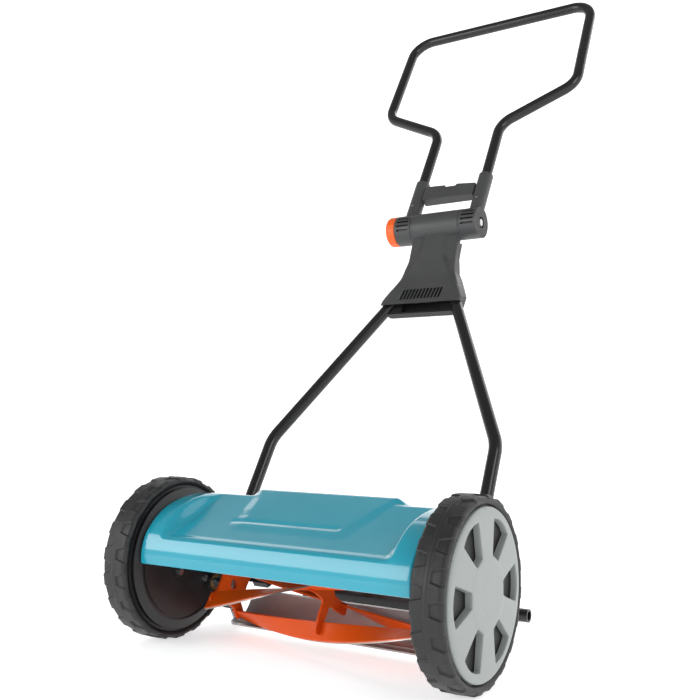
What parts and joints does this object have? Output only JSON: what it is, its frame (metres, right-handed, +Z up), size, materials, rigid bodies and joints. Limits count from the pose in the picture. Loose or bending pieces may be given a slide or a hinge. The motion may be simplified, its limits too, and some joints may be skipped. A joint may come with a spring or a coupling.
{
  "type": "reel mower",
  "caption": "Push reel mower: geared wheels turn a helical blade reel against a bed knife under a moulded cover, with a rear roller and a folding loop handle.",
  "frame": {"origin": "on the ground, under the middle of the whole machine", "axes": "+X to the operator's left, along the axle; +Y back towards the operator; +Z up"},
  "size_m": [0.4966, 0.7604, 1.0507],
  "materials": {
    "wheel_black": "moulded, fine grain",
    "tyre_rubber": "moulded rubber",
    "hubcap_grey": "satin moulded",
    "bush_nylon": "self-lubricating",
    "bearing_bronze": "sintered",
    "bright_steel": "turned",
    "zinc_steel": "zinc plated",
    "spring_steel": "bright wire",
    "gear_steel": "sintered, greased",
    "plate_black": "glass-filled, fine grain",
    "frame_black": "powder coated",
    "cover_turquoise": "high gloss",
    "reel_orange": "satin enamel",
    "bed_steel": "grey, satin",
    "knife_steel": "ground edge",
    "tube_black": "gloss powder coat",
    "hinge_grey": "satin moulded",
    "knob_orange": "satin moulded"
  },
  "bodies": {
    "chassis": {"left_axle": "bright_steel", "right_axle": "bright_steel", "axle_washers": "bright_steel", "axle_circlips": "bright_steel", "left_side_plate": "plate_black", "right_side_plate": "plate_black", "rear_cross_member": "frame_black", "front_tie_rod": "frame_black", "plate_bolts": "zinc_steel", "frame_bolts": "zinc_steel", "reel_bearings": "bearing_bronze", "cover": "cover_turquoise", "cover_screws": "zinc_steel", "adjuster_springs": "spring_steel", "arm_pivot_bolts": "zinc_steel", "left_lower_tube": "tube_black", "right_lower_tube": "tube_black", "hinge_housing": "hinge_grey", "hinge_back_cover": "hinge_grey", "housing_screws": "zinc_steel", "tube_screws": "zinc_steel"},
    "left_wheel": {"left_rim": "wheel_black", "left_tyre": "tyre_rubber", "left_hubcap": "hubcap_grey", "left_bush": "bush_nylon"},
    "right_wheel": {"right_rim": "wheel_black", "right_tyre": "tyre_rubber", "right_hubcap": "hubcap_grey", "right_bush": "bush_nylon"},
    "reel": {"reel_stubs": "bright_steel", "spider_left": "reel_orange", "spider_centre": "reel_orange", "spider_right": "reel_orange", "blade_1": "reel_orange", "blade_2": "reel_orange", "blade_3": "reel_orange", "blade_4": "reel_orange", "right_pinion": "gear_steel", "drive_pawls": "bright_steel", "pinion_circlips": "bright_steel"},
    "left_pinion": {"left_pinion": "gear_steel"},
    "bed": {"bed_carrier": "bed_steel", "bed_knife": "knife_steel", "knife_screws": "zinc_steel", "adjuster_screws": "zinc_steel"},
    "roller_frame": {"left_roller_arm": "plate_black", "right_roller_arm": "plate_black", "roller_axle": "frame_black", "arm_lock_bolts": "zinc_steel"},
    "roller": {"rear_roller": "plate_black", "roller_bushes": "bush_nylon"},
    "upper_handle": {"handle_loop": "tube_black", "hinge_bracket": "hinge_grey", "bracket_pins": "zinc_steel", "clamp_bolt": "spring_steel"},
    "knob": {"clamp_knob": "knob_orange", "knob_nut": "bright_steel"}
  },
  "joints": [
    {"name": "left_wheel_spin", "type": "hinge", "parent": "chassis", "child": "left_wheel", "pos_m": [0.225, -0.27141, 0.1088], "axis": [1, 0, 0], "continuous": true},
    {"name": "right_wheel_spin", "type": "hinge", "parent": "chassis", "child": "right_wheel", "pos_m": [-0.225, -0.27141, 0.1088], "axis": [1, 0, 0], "continuous": true},
    {"name": "reel_spin", "type": "hinge", "parent": "chassis", "child": "reel", "pos_m": [0, -0.21911, 0.06853], "axis": [1, 0, 0], "continuous": true},
    {"name": "left_pinion_spin", "type": "hinge", "parent": "chassis", "child": "left_pinion", "pos_m": [0.221, -0.21911, 0.06853], "axis": [1, 0, 0], "continuous": true},
    {"name": "bed_adjust", "type": "slide", "parent": "chassis", "child": "bed", "axis": [0, 0.5, -0.866], "range_m": [0, 0.0012]},
    {"name": "roller_height", "type": "hinge", "parent": "chassis", "child": "roller_frame", "pos_m": [0.172, -0.1254, 0.088], "axis": [1, 0, 0], "range_deg": [-30, 0]},
    {"name": "roller_spin", "type": "hinge", "parent": "roller_frame", "child": "roller", "pos_m": [0, -0.0164, 0.029], "axis": [1, 0, 0], "continuous": true},
    {"name": "handle_fold", "type": "hinge", "parent": "chassis", "child": "upper_handle", "pos_m": [0, 0.11059, 0.608], "axis": [1, 0, 0], "range_deg": [-45, 135]},
    {"name": "knob_turn", "type": "hinge", "parent": "upper_handle", "child": "knob", "pos_m": [-0.082, 0.11059, 0.608], "axis": [-1, 0, 0], "range_deg": [0, 360]}
  ],
  "couplings": [
    {"joint": "reel_spin", "follows": "right_wheel_spin", "ratio": 6.0769},
    {"joint": "left_pinion_spin", "follows": "left_wheel_spin", "ratio": 6.0769}
  ]
}
